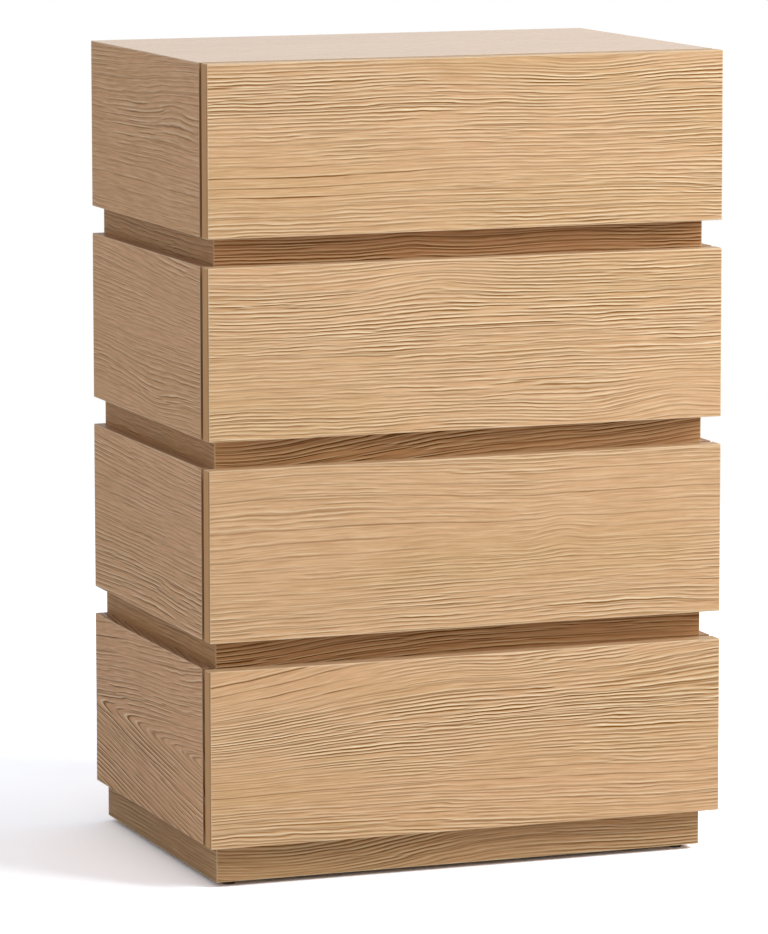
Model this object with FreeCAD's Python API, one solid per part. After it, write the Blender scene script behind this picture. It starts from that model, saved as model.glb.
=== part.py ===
"""Chest of four drawers, built like four full-width boxes stacked with recessed bands between them.

Millimetres. X runs to the right of someone facing the drawers, Y to the back and Z up.
The origin is on the floor under the middle of the chest.
"""

import FreeCAD
import Part

import os
from collections import namedtuple

from FreeCAD import Vector

# Outside of the chest
width = 600.0
depth = 410.0

# Heights, from the floor up
glide_height = 6.0
plinth_height = 42.0
bottom_tier_height = 195.0
upper_tier_height = 188.0
upper_tier_count = 3
band_height = 31.0

# Boards of the carcass
top_thickness = 22.0
outer_board_thickness = 14.0
carcass_board = 16.0
back_thickness = 6.0
back_rebate = 10.0
rail_overlap = 12.0
top_rail_height = 24.0
arris = 1.0

# Drawer fronts and the gaps behind them
front_thickness = 20.0
closing_gap = 3.5
shadow_gap = 8.0
finger_groove_radius = 12.0
groove_to_bumper = 4.0

# Drawer boxes, and the room above and behind them
box_headroom = 6.0
box_rise = 24.0
drawer_back_gap = 34.0
box_board = 12.0
box_edge_round = 2.0
bottom_thickness = 5.0
bottom_rise = 10.0
groove_depth = 6.0
groove_clearance = 0.2

# Three-member ball-bearing runners, and the clearances between their members
runner_end_gap = 27.5
runner_height = 45.0
runner_width = 12.7
runner_steel = 1.2
runner_bend = 0.9
runner_race = 0.6
runner_setback = 3.0
runner_rise = 45.0
cabinet_flange_gap = 1.7
middle_flange_gap = 2.4
screw_head_gap = 0.6
middle_web_gap = 0.8
screw_setback = 32.0

# Glides and the blocks that hold them
glide_radius = 8.5
glide_chamfer = 1.5
glide_side_inset = 20.0
glide_end_inset = 22.0
glide_nail_radius = 1.2
glide_nail_length = 14.0
block_size = 40.0

# Bumper pads
bumper_radius = 4.0
bumper_clearance = 0.3
bumper_inset = 50.0

# Screws
fit_clearance = 0.1
pan_head_radius = 3.5
pan_head_height = 1.5
pan_shank_radius = 1.6
runner_screw_bite = 7.8
front_screw_bite = 14.0
front_screw_inset = 45.0
front_screw_edge = 28.0
flat_head_radius = 3.2
flat_shank_radius = 1.5
back_screw_bite = 12.0
flat_screw_spacing = 150.0
recess_width = 0.8
recess_reach = 0.55
recess_depth = 0.9

# Faces that the pieces share
front_y = -depth / 2
back_y = depth / 2
front_back_y = front_y + front_thickness
tier_edge_y = front_back_y + shadow_gap
band_y = front_back_y + closing_gap
back_panel_y = back_y - back_thickness
outer_x = width / 2
band_x = outer_x - outer_board_thickness
inner_x = band_x - carcass_board
box_x = inner_x - runner_width
box_front_y = front_back_y
box_back_y = back_panel_y - drawer_back_gap
plinth_top = glide_height + plinth_height

# Sizes that follow from those above
box_height = upper_tier_height - top_thickness - top_rail_height - box_rise - box_headroom
runner_length = back_panel_y - runner_end_gap - band_y - runner_setback
runner_screw_length = runner_steel + runner_screw_bite
front_screw_length = box_board + front_screw_bite
flat_screw_length = back_thickness + back_screw_bite
finger_groove_margin = bumper_inset + bumper_radius + groove_to_bumper + finger_groove_radius

# How far each part of the runners' channels stands from the side panel
cabinet_flange_end = runner_width - cabinet_flange_gap
middle_web = runner_steel + pan_head_height + screw_head_gap
middle_flange_end = runner_width - middle_flange_gap
drawer_flange_end = middle_web + runner_steel + middle_web_gap

Tier = namedtuple("Tier", "number bottom top")


def stack_tiers():
    """The tiers from the lowest up, numbered from the top drawer down."""
    heights = [bottom_tier_height] + [upper_tier_height] * upper_tier_count
    tiers = []
    bottom = plinth_top
    for index, height in enumerate(heights):
        tiers.append(Tier(len(heights) - index, bottom, bottom + height))
        bottom += height + band_height
    return tiers


tiers = stack_tiers()
chest_top = tiers[-1].top
top_underside = chest_top - top_thickness


def block(x, y, z):
    """A box between two x, two y and two z values."""
    return Part.makeBox(x[1] - x[0], y[1] - y[0], z[1] - z[0], Vector(x[0], y[0], z[0]))


def prism_up(outline, z):
    """A prism that stands between two z values on an outline of (x, y) points."""
    points = [Vector(x, y, z[0]) for x, y in outline]
    face = Part.Face(Part.makePolygon(points + points[:1]))
    return face.extrude(Vector(0, 0, z[1] - z[0]))


def edges_at(shape, x=None, y=None, z=None):
    """The edges whose ends all lie at the given coordinates."""

    def lies_there(edge):
        return all(
            wanted is None or abs(value - wanted) < 1e-6
            for vertex in edge.Vertexes
            for value, wanted in zip(vertex.Point, (x, y, z))
        )

    return [edge for edge in shape.Edges if lies_there(edge)]


def mirrored(shape):
    """The same piece on the other side of the chest."""
    return shape.mirror(Vector(0, 0, 0), Vector(1, 0, 0))


def aimed(shape, at, direction):
    """A piece made along +Z from the origin, turned along a direction and moved to a point."""
    shape.Placement = FreeCAD.Placement(at, FreeCAD.Rotation(Vector(0, 0, 1), direction))
    return shape


def cross_recess(head_radius):
    """The driver's cross in a screw head whose top is at the origin."""
    reach = head_radius * recess_reach
    half = recess_width / 2
    slot = block((-reach, reach), (-half, half), (0, recess_depth))
    return slot.fuse(block((-half, half), (-reach, reach), (0, recess_depth)))


def pan_screw(at, direction, length):
    """A pan-head screw whose head sits on the surface at a point and whose shank goes along a direction."""
    head = Part.makeCylinder(pan_head_radius, pan_head_height, Vector(0, 0, -pan_head_height))
    head = head.makeFillet(pan_head_height / 2, edges_at(head, z=-pan_head_height))
    shank = Part.makeCylinder(pan_shank_radius, length)
    recess = cross_recess(pan_head_radius).translate(Vector(0, 0, -pan_head_height))
    return aimed(head.fuse(shank).cut(recess).removeSplitter(), at, direction)


def pan_bore(at, direction, length):
    """The hole for the shank of a pan-head screw."""
    radius = pan_shank_radius + fit_clearance
    return aimed(Part.makeCylinder(radius, length + fit_clearance), at, direction)


def flat_screw(at, direction):
    """A countersunk screw whose head is flush with the surface at a point."""
    cone_height = flat_head_radius - flat_shank_radius
    cone = Part.makeCone(flat_head_radius, flat_shank_radius, cone_height)
    shank = Part.makeCylinder(flat_shank_radius, flat_screw_length)
    return aimed(cone.fuse(shank).cut(cross_recess(flat_head_radius)), at, direction)


def flat_bore(at, direction):
    """The countersunk hole for a flat-head screw."""
    cone_height = flat_head_radius - flat_shank_radius
    wide = flat_head_radius + fit_clearance
    narrow = flat_shank_radius + fit_clearance
    cone = Part.makeCone(wide, narrow, cone_height)
    shank = Part.makeCylinder(narrow, flat_screw_length + fit_clearance)
    return aimed(cone.fuse(shank), at, direction)


def spread(low, high, spacing):
    """Points from low to high, evenly spaced and no further apart than the spacing."""
    count = max(1, int(-(-(high - low) // spacing)))
    return [low + (high - low) * i / count for i in range(count + 1)]


def back_screw_points():
    """Where the screws of the back panel go: down both sides, and along the top and the bottom."""
    side_x = inner_x + back_rebate / 2
    low = plinth_top + carcass_board / 2
    high = top_underside + back_rebate / 2
    columns = [(x, z) for x in (-side_x, side_x) for z in spread(low, high, flat_screw_spacing)]
    across = spread(-side_x, side_x, flat_screw_spacing)[1:-1]
    rows = [(x, z) for x in across for z in (low, high)]
    return [Vector(x, back_y, z) for x, z in columns + rows]


def runner_middle_z(tier):
    """Height of the middle of a tier's runners."""
    return tier.bottom + box_rise + runner_rise


def runner_screw_ys():
    """Where the screws of each runner member go, along its length."""
    first = band_y + runner_setback + screw_setback
    last = band_y + runner_setback + runner_length - screw_setback
    return (first, last)


def cabinet_screw_points(tier):
    """Where the right cabinet member's screws enter its web."""
    x = inner_x - runner_steel
    return [Vector(x, y, runner_middle_z(tier)) for y in runner_screw_ys()]


def drawer_screw_points(tier):
    """Where the right drawer member's screws enter its web."""
    x = box_x + runner_steel
    return [Vector(x, y, runner_middle_z(tier)) for y in runner_screw_ys()]


def rail_outline():
    """Plan of a band rail, with mitred ends."""
    rear_x = band_x - carcass_board
    rear_y = band_y + carcass_board
    return [(-band_x, band_y), (band_x, band_y), (rear_x, rear_y), (-rear_x, rear_y)]


def rail_heights(lower, upper):
    """Bottom and top of the rail between two tiers, which laps behind both drawer fronts."""
    return (lower.top - rail_overlap, upper.bottom + rail_overlap)


def inner_envelope(z):
    """The bands' and the plinth's outer form between two heights, with its front corners softened."""
    body = block((-band_x, band_x), (band_y, back_y), z)
    corners = [edge for x in (-band_x, band_x) for edge in edges_at(body, x=x, y=band_y)]
    return body.makeFillet(arris, corners)


def top_envelope():
    """The outer form of the top tier, with the arrises of its top and sides softened."""
    tier = tiers[-1]
    body = block((-outer_x, outer_x), (tier_edge_y, back_y), (tier.bottom, tier.top))
    edges = [edge for x in (-outer_x, outer_x) for edge in edges_at(body, x=x)]
    long_edges = [edge for y in (tier_edge_y, back_y) for edge in edges_at(body, y=y, z=tier.top)]
    return body.makeFillet(arris, edges + long_edges)


def mitre_wedge():
    """All that lies on the top panel's side of the mitres along both upper edges of the chest."""
    inner_z = chest_top - outer_board_thickness
    points = [
        (-outer_x, chest_top),
        (outer_x, chest_top),
        (band_x, inner_z),
        (band_x, top_underside),
        (-band_x, top_underside),
        (-band_x, inner_z),
    ]
    outline = [Vector(x, tier_edge_y, z) for x, z in points]
    face = Part.Face(Part.makePolygon(outline + outline[:1]))
    return face.extrude(Vector(0, back_y - tier_edge_y, 0))


def make_top_panel():
    """The top, mitred to the outer boards of the top tier and rebated for the back panel."""
    rebate = block(
        (-inner_x - back_rebate, inner_x + back_rebate),
        (back_panel_y, back_y),
        (top_underside, top_underside + back_rebate),
    )
    panel = top_envelope().common(mitre_wedge()).cut(rebate)
    return panel.cut([flat_bore(at, Vector(0, -1, 0)) for at in back_screw_points()])


def make_outer_board(tier):
    """The right outer board of one tier."""
    board = block((band_x, outer_x), (tier_edge_y, back_y), (tier.bottom, tier.top))
    if tier is tiers[-1]:
        return top_envelope().common(board).cut(mitre_wedge())
    return board.makeFillet(arris, edges_at(board, x=outer_x))


def make_side_panel():
    """The right inner side panel, notched for the mitred rails and rebated for the back."""
    height = (plinth_top, top_underside)
    panel = inner_envelope(height).common(block((inner_x, band_x), (band_y, back_y), height))
    rebate = block((inner_x, inner_x + back_rebate), (back_panel_y, back_y), height)
    notches = [
        prism_up(rail_outline(), rail_heights(lower, upper))
        for lower, upper in zip(tiers, tiers[1:])
    ]
    runner_bores = [
        pan_bore(at, Vector(1, 0, 0), runner_screw_length)
        for tier in tiers
        for at in cabinet_screw_points(tier)
    ]
    back_bores = [flat_bore(at, Vector(0, -1, 0)) for at in back_screw_points()]
    return panel.cut([rebate] + notches + runner_bores + back_bores)


def make_band_rail(lower, upper):
    """The rail between two tiers, which is the band seen between their drawer fronts."""
    heights = rail_heights(lower, upper)
    return inner_envelope(heights).common(prism_up(rail_outline(), heights))


def make_top_rail():
    """The rail behind the top edge of the top drawer front, under the top panel."""
    heights = (top_underside - top_rail_height, top_underside)
    return block((-inner_x, inner_x), (band_y, band_y + carcass_board), heights)


def make_bottom_panel():
    """The bottom of the carcass, between the side panels."""
    panel = block(
        (-inner_x, inner_x), (band_y, back_panel_y), (plinth_top, plinth_top + carcass_board)
    )
    return panel.cut([flat_bore(at, Vector(0, -1, 0)) for at in back_screw_points()])


def make_back_panel():
    """The back, set in rebates and flush with the back edges of the carcass."""
    reach = inner_x + back_rebate
    panel = block((-reach, reach), (back_panel_y, back_y), (plinth_top, top_underside + back_rebate))
    return panel.cut([flat_bore(at, Vector(0, -1, 0)) for at in back_screw_points()])


def make_plinth_front():
    """The front plinth board, with mitred ends."""
    heights = (glide_height, plinth_top)
    return inner_envelope(heights).common(prism_up(rail_outline(), heights))


def make_plinth_side():
    """The right plinth board, mitred to the front one."""
    heights = (glide_height, plinth_top)
    board = inner_envelope(heights).common(block((inner_x, band_x), (band_y, back_y), heights))
    return board.cut(prism_up(rail_outline(), heights))


def make_plinth_back():
    """The back plinth board, between the side ones."""
    return block((-inner_x, inner_x), (back_y - carcass_board, back_y), (glide_height, plinth_top))


def glide_points():
    """Where the glides go on the underside of the plinth."""
    x = band_x - glide_side_inset
    ys = (band_y + glide_end_inset, back_y - glide_end_inset)
    return [Vector(side * x, y, glide_height) for side in (-1, 1) for y in ys]


def make_glides():
    """Four nail-on glides, each a disc with its nail."""
    glides = []
    for at in glide_points():
        disc = Part.makeCylinder(glide_radius, glide_height, Vector(at.x, at.y, 0))
        disc = disc.makeFillet(glide_chamfer, edges_at(disc, z=0))
        glides.append(disc.fuse(Part.makeCylinder(glide_nail_radius, glide_nail_length, at)))
    return glides


def make_corner_blocks():
    """Four blocks inside the corners of the plinth, which the glides are nailed to."""
    blocks = []
    for at in glide_points():
        outer = inner_x if at.x > 0 else -inner_x
        inner = outer - block_size if at.x > 0 else outer + block_size
        front = band_y + carcass_board
        back = back_y - carcass_board
        span = (front, front + block_size) if at.y < 0 else (back - block_size, back)
        body = block(sorted((outer, inner)), span, (glide_height, plinth_top))
        nail = Part.makeCylinder(
            glide_nail_radius + fit_clearance, glide_nail_length + fit_clearance, at
        )
        blocks.append(body.cut(nail))
    return blocks


def make_bumpers():
    """Soft pads on the front edges of the carcass, four behind each drawer front."""
    pads = []
    for tier in tiers:
        seat_top = min(tier.top, top_underside)
        for z in (tier.bottom + rail_overlap / 2, seat_top - rail_overlap / 2):
            for x in (bumper_inset - outer_x, outer_x - bumper_inset):
                pad = Part.makeCylinder(
                    bumper_radius, closing_gap - bumper_clearance, Vector(x, band_y, z), Vector(0, -1, 0)
                )
                pads.append(pad)
    return pads


def make_channel(tier, web, flange, half_height):
    """A length of channel on the right side, its web and flange ends measured from the side panel."""
    inward = 1 if flange > web else -1
    steel = runner_steel
    section = [
        (web, -half_height),
        (flange, -half_height),
        (flange, steel - half_height),
        (web + inward * steel, steel - half_height),
        (web + inward * steel, half_height - steel),
        (flange, half_height - steel),
        (flange, half_height),
        (web, half_height),
    ]
    start = band_y + runner_setback
    middle = runner_middle_z(tier)
    outline = [Vector(inner_x - across, start, middle + up) for across, up in section]
    channel = Part.Face(Part.makePolygon(outline + outline[:1])).extrude(Vector(0, runner_length, 0))
    bends = [
        edge
        for up in (-half_height, half_height)
        for edge in edges_at(channel, x=inner_x - web, z=middle + up)
    ]
    return channel.makeFillet(runner_bend, bends)


def make_cabinet_runners(tier):
    """The pair of members screwed to the side panels."""
    bores = [pan_bore(at, Vector(1, 0, 0), runner_screw_length) for at in cabinet_screw_points(tier)]
    member = make_channel(tier, 0, cabinet_flange_end, runner_height / 2).cut(bores)
    return [member, mirrored(member)]


def make_middle_runners(tier):
    """The pair of middle members, which run between the other two."""
    half_height = runner_height / 2 - runner_steel - runner_race
    member = make_channel(tier, middle_web, middle_flange_end, half_height)
    return [member, mirrored(member)]


def make_drawer_runners(tier):
    """The pair of members screwed to the drawer."""
    bores = [pan_bore(at, Vector(-1, 0, 0), runner_screw_length) for at in drawer_screw_points(tier)]
    half_height = runner_height / 2 - 2 * (runner_steel + runner_race)
    member = make_channel(tier, runner_width, drawer_flange_end, half_height).cut(bores)
    return [member, mirrored(member)]


def make_carcass_screws():
    """The screws of the back panel and of the cabinet members."""
    screws = [flat_screw(at, Vector(0, -1, 0)) for at in back_screw_points()]
    for tier in tiers:
        for at in cabinet_screw_points(tier):
            screw = pan_screw(at, Vector(1, 0, 0), runner_screw_length)
            screws += [screw, mirrored(screw)]
    return screws


def box_heights(tier):
    """Bottom and top of a tier's drawer box."""
    return (tier.bottom + box_rise, tier.bottom + box_rise + box_height)


def front_screw_points(tier):
    """Where the screws that hold the drawer front enter the inner front board, seen from inside."""
    low, high = box_heights(tier)
    x = box_x - box_board - front_screw_inset
    zs = (low + front_screw_edge, high - front_screw_edge)
    return [Vector(side * x, box_front_y + box_board, z) for side in (-1, 1) for z in zs]


def make_drawer_front(tier):
    """The slab that covers the whole tier, with a finger groove behind its lower edge."""
    slab = block((-outer_x, outer_x), (front_y, front_back_y), (tier.bottom, tier.top))
    slab = slab.makeFillet(arris, slab.Edges)
    reach = outer_x - finger_groove_margin
    ends = [Vector(x, front_back_y, tier.bottom) for x in (-reach, reach)]
    groove = Part.makeCylinder(finger_groove_radius, 2 * reach, ends[0], Vector(1, 0, 0))
    scoops = [Part.makeSphere(finger_groove_radius, end) for end in ends]
    bores = [pan_bore(at, Vector(0, -1, 0), front_screw_length) for at in front_screw_points(tier)]
    return slab.cut([groove.fuse(scoops)] + bores)


def bottom_extent(tier):
    """The spans of a drawer's bottom, which reaches into the grooves of the four boards round it."""
    reach = groove_depth - groove_clearance
    x = box_x - box_board + reach
    low = box_heights(tier)[0] + bottom_rise
    span = (box_front_y + box_board - reach, box_back_y - box_board + reach)
    return (-x, x), span, (low, low + bottom_thickness)


def bottom_groove(tier):
    """The space that the grooves leave for a drawer's bottom."""
    x, y, z = bottom_extent(tier)
    return block(
        (x[0] - groove_clearance, x[1] + groove_clearance),
        (y[0] - groove_clearance, y[1] + groove_clearance),
        (z[0], z[1] + groove_clearance),
    )


def make_drawer_bottom(tier):
    """The thin board in the grooves."""
    return block(*bottom_extent(tier))


def make_drawer_side(tier):
    """The right side of a drawer box, its upper arrises rounded."""
    z = box_heights(tier)
    board = block((box_x - box_board, box_x), (box_front_y, box_back_y), z)
    uppers = [edge for x in (box_x - box_board, box_x) for edge in edges_at(board, x=x, z=z[1])]
    board = board.makeFillet(box_edge_round, uppers)
    bores = [pan_bore(at, Vector(-1, 0, 0), runner_screw_length) for at in drawer_screw_points(tier)]
    return board.cut([bottom_groove(tier)] + bores)


def make_box_end(tier, near):
    """A board between a drawer's sides, whose front face is at the given y."""
    z = box_heights(tier)
    reach = box_x - box_board
    board = block((-reach, reach), (near, near + box_board), z)
    uppers = [edge for y in (near, near + box_board) for edge in edges_at(board, y=y, z=z[1])]
    return board.makeFillet(box_edge_round, uppers).cut(bottom_groove(tier))


def make_inner_front(tier):
    """The front board of the drawer box, which the slab is screwed to."""
    bores = [pan_bore(at, Vector(0, -1, 0), front_screw_length) for at in front_screw_points(tier)]
    return make_box_end(tier, box_front_y).cut(bores)


def make_drawer_screws(tier):
    """The screws of the drawer front and of the drawer members."""
    screws = [pan_screw(at, Vector(0, -1, 0), front_screw_length) for at in front_screw_points(tier)]
    for at in drawer_screw_points(tier):
        screw = pan_screw(at, Vector(-1, 0, 0), runner_screw_length)
        screws += [screw, mirrored(screw)]
    return screws


def drawer_nodes(tier):
    """Every piece that moves with one drawer, and its middle runner members."""
    number = tier.number
    side = make_drawer_side(tier)
    return {
        f"drawer_front_{number}": [make_drawer_front(tier)],
        f"drawer_inner_front_{number}": [make_inner_front(tier)],
        f"drawer_left_side_{number}": [mirrored(side)],
        f"drawer_right_side_{number}": [side],
        f"drawer_back_{number}": [make_box_end(tier, box_back_y - box_board)],
        f"drawer_bottom_{number}": [make_drawer_bottom(tier)],
        f"drawer_runners_{number}": make_drawer_runners(tier) + make_drawer_screws(tier),
        f"middle_runners_{number}": make_middle_runners(tier),
    }


def carcass_nodes():
    """Every piece of the standing carcass."""
    side_panel = make_side_panel()
    plinth_side = make_plinth_side()
    nodes = {
        "top_panel": [make_top_panel()],
        "left_side_panel": [mirrored(side_panel)],
        "right_side_panel": [side_panel],
        "bottom_panel": [make_bottom_panel()],
        "back_panel": [make_back_panel()],
        "top_rail": [make_top_rail()],
        "plinth_front": [make_plinth_front()],
        "plinth_sides": [plinth_side, mirrored(plinth_side)],
        "plinth_back": [make_plinth_back()],
        "corner_blocks": make_corner_blocks(),
        "glides": make_glides(),
        "bumpers": make_bumpers(),
        "carcass_screws": make_carcass_screws(),
    }
    for lower, upper in zip(tiers, tiers[1:]):
        nodes[f"band_rail_{upper.number}"] = [make_band_rail(lower, upper)]
    for tier in tiers:
        board = make_outer_board(tier)
        nodes[f"left_outer_board_{tier.number}"] = [mirrored(board)]
        nodes[f"right_outer_board_{tier.number}"] = [board]
        nodes[f"cabinet_runners_{tier.number}"] = make_cabinet_runners(tier)
    return nodes


def main():
    """Write one file per node."""
    os.makedirs("parts", exist_ok=True)
    nodes = carcass_nodes()
    for tier in tiers:
        nodes.update(drawer_nodes(tier))
    for name, solids in nodes.items():
        shape = solids[0] if len(solids) == 1 else Part.makeCompound(solids)
        shape.exportStep(os.path.join("parts", name + ".step"))
    print(len(nodes), "nodes, height", chest_top)


main()
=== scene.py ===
"""Finishes, runner fittings and studio for a chest of four drawers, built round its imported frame.

Metres, in the frame's own axes: X to the right of someone facing the drawers, Y to the back, Z up,
and the origin on the floor under the middle of the chest.
"""

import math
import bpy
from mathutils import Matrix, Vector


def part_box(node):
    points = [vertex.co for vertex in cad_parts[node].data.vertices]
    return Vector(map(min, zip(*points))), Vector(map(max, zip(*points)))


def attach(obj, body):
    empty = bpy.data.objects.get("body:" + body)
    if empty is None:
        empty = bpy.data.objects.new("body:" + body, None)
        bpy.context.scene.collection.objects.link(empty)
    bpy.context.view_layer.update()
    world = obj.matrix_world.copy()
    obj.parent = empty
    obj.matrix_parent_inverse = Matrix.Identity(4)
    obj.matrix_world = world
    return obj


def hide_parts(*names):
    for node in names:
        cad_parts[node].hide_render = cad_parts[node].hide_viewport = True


bl_info = {
    "name": "Oak chest of drawers",
    "version": (1, 0, 0),
    "blender": (4, 5, 0),
    "location": "3D View > Sidebar > Chest",
    "description": "Wood finishes, runner fittings and a studio for a chest of four drawers",
    "category": "Object",
}

from collections import namedtuple

import bmesh
import bpy
import numpy as np
from bpy.props import FloatProperty, FloatVectorProperty, PointerProperty
from mathutils import Matrix, Vector

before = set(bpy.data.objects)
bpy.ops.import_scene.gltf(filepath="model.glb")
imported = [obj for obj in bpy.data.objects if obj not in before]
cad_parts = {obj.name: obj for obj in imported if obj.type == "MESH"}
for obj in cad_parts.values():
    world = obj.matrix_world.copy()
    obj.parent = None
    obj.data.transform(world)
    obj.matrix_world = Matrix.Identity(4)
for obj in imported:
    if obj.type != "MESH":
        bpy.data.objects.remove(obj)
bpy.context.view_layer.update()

MM = 0.001
PHOTO_HEIGHT = 934
TIERS = (1, 2, 3, 4)

ALONG_X = (1, 0, 0)
ALONG_Y = (0, -1, 0)
ALONG_Z = (0, 0, 1)
FACE_FRONT = (0, -1, 0)
FACE_LEFT = (-1, 0, 0)
FACE_TOP = (0, 0, 1)

WHITE = (1, 1, 1)
NODE_SPACING = 190


def shown(red, green, blue):
    """The linear colour of 0 to 255 screen values, by the sRGB curve."""
    return tuple(
        value / 12.92 if value <= 0.04045 else ((value + 0.055) / 1.055) ** 2.4
        for value in (red / 255, green / 255, blue / 255)
    )


def colour(name, description, value):
    """A colour setting."""
    return FloatVectorProperty(
        name=name, description=description, default=value, size=3, min=0, max=1, subtype="COLOR"
    )


def number(name, description, value, **limits):
    """A setting that is nought or more."""
    return FloatProperty(name=name, description=description, default=value, min=0, **limits)


def length(name, description, value, largest):
    """A length setting, in metres."""
    limits = {"max": largest, "precision": 5, "subtype": "DISTANCE", "unit": "LENGTH"}
    return number(name, description, value, **limits)


def share(name, description, value):
    """A setting from none to all."""
    return number(name, description, value, max=1, subtype="FACTOR")


class OakFinish(bpy.types.PropertyGroup):
    """Colours and grain of the oak veneer."""

    plain: colour("Plain", "Oak between the grain lines", shown(227, 184, 141))
    warm: colour("Warm", "Oak in the warmer patches", shown(228, 185, 142))
    cool: colour("Cool", "Oak in the yellower patches", shown(223, 181, 135))
    # Ridge is partly paler wood and partly painted highlight: laid just above each grain line, it
    # paints the light that the brushed relief catches from above, and it also pales fibres and
    # arrises.
    ridge: colour("Ridge", "Bright wood beside each grain line", shown(255, 236, 200))
    line: colour("Line", "Wood in the grain lines", shown(128, 78, 3))
    end: colour("End", "Oak on the cut ends of the drawer fronts", shown(219, 170, 123))
    # Painted shade: a dark brown laid on the front edges in the gaps behind the drawer fronts, and
    # on the outer boards' top and bottom edges, where shade falls.
    joint: colour("Joint", "Oak in the dark gap behind the drawer fronts", shown(92, 56, 26))
    spacing: length("Line spacing", "Distance between crowded grain lines", 3.6 * MM, 0.05)
    line_width: length("Line width", "Half width of a grain line", 1.15 * MM, 0.01)
    relief: length("Relief", "Depth of the brushed grain", 0.045 * MM, 0.002)
    # Wear and painted highlight: the paler band along the arrises is partly real wear and partly
    # painted highlight, where the edges catch the light.
    wear_and_highlight_width: length("Wear width", "Width of the paler wear along the arrises", 1.7 * MM, 0.02)
    wear: share("Wear", "How pale the arrises are worn", 0.7)
    gloss_roughness: share("Roughness", "Roughness of the matt lacquer", 0.31)


class BoxFinish(bpy.types.PropertyGroup):
    """Colours of the plywood drawer boxes and of the softwood blocks."""

    birch: colour("Birch", "Face of the plywood", shown(226, 203, 168))
    birch_line: colour("Birch figure", "Figure on the plywood's face", shown(205, 174, 132))
    glue_ply: colour("Cross ply", "Darker plies on the plywood's edges", shown(178, 143, 103))
    pine: colour("Pine", "Plain wood of the corner blocks", shown(226, 192, 142))
    pine_line: colour("Pine figure", "Late wood of the corner blocks", shown(190, 140, 88))


class FittingFinish(bpy.types.PropertyGroup):
    """Colours of the steel, plastic and rubber fittings."""

    zinc: colour("Zinc", "Zinc plating of the runners and screws", shown(198, 200, 204))
    zinc_dull: colour("Dull zinc", "Duller patches of the plating", shown(160, 163, 168))
    glide: colour("Glide", "Plastic of the glides", shown(52, 34, 24))
    pad: colour("Pad", "Rubber of the bumper pads", shown(176, 174, 168))
    lever: colour("Lever", "Plastic of the runners' release levers", shown(38, 38, 40))


class RunnerSizes(bpy.types.PropertyGroup):
    """Sizes of the ball-bearing runners and the bumper pads."""

    steel: length("Steel", "Thickness of the rolled members", 1.2 * MM, 0.005)
    bend: length("Bend", "How far from each corner a member's bend starts", 1.5 * MM, 0.01)
    ball: length("Ball", "Radius of the balls", 1.7 * MM, 0.01)
    ball_pitch: length("Ball pitch", "Distance between balls in a row", 10 * MM, 0.1)
    cage_steel: length("Cage steel", "Thickness of the strips that hold the balls", 0.5 * MM, 0.005)
    cage: length("Cage length", "Length of a strip", 150 * MM, 1)
    lever: length("Lever length", "Length of a release lever", 64 * MM, 1)
    pad_crown: length("Pad crown", "Rise of a bumper pad's middle over its rim", 1.3 * MM, 0.01)


class StudioSettings(bpy.types.PropertyGroup):
    """Light, floor and camera."""

    key_power: number(
        "Key light", "Power of the large lamp in front, above and to the right", 100,
        subtype="POWER", unit="POWER",
    )
    key_size: length("Key size", "Width of the large lamp", 2, 10)
    sun: number("Sun", "Strength of the soft sun from the right", 0.19)
    sun_softness: number(
        "Sun softness", "How wide the sun looks, which softens its shadows", math.radians(24),
        max=math.pi, subtype="ANGLE", unit="ROTATION",
    )
    sky: number("Sky", "Strength of the even light from all round", 0.48)
    floor: colour("Floor", "Colour of the studio floor", (0.86, 0.86, 0.86))
    lens: number(
        "Lens", "Focal length that gives the photograph's angle of view", 213.16,
        subtype="DISTANCE_CAMERA",
    )


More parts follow.
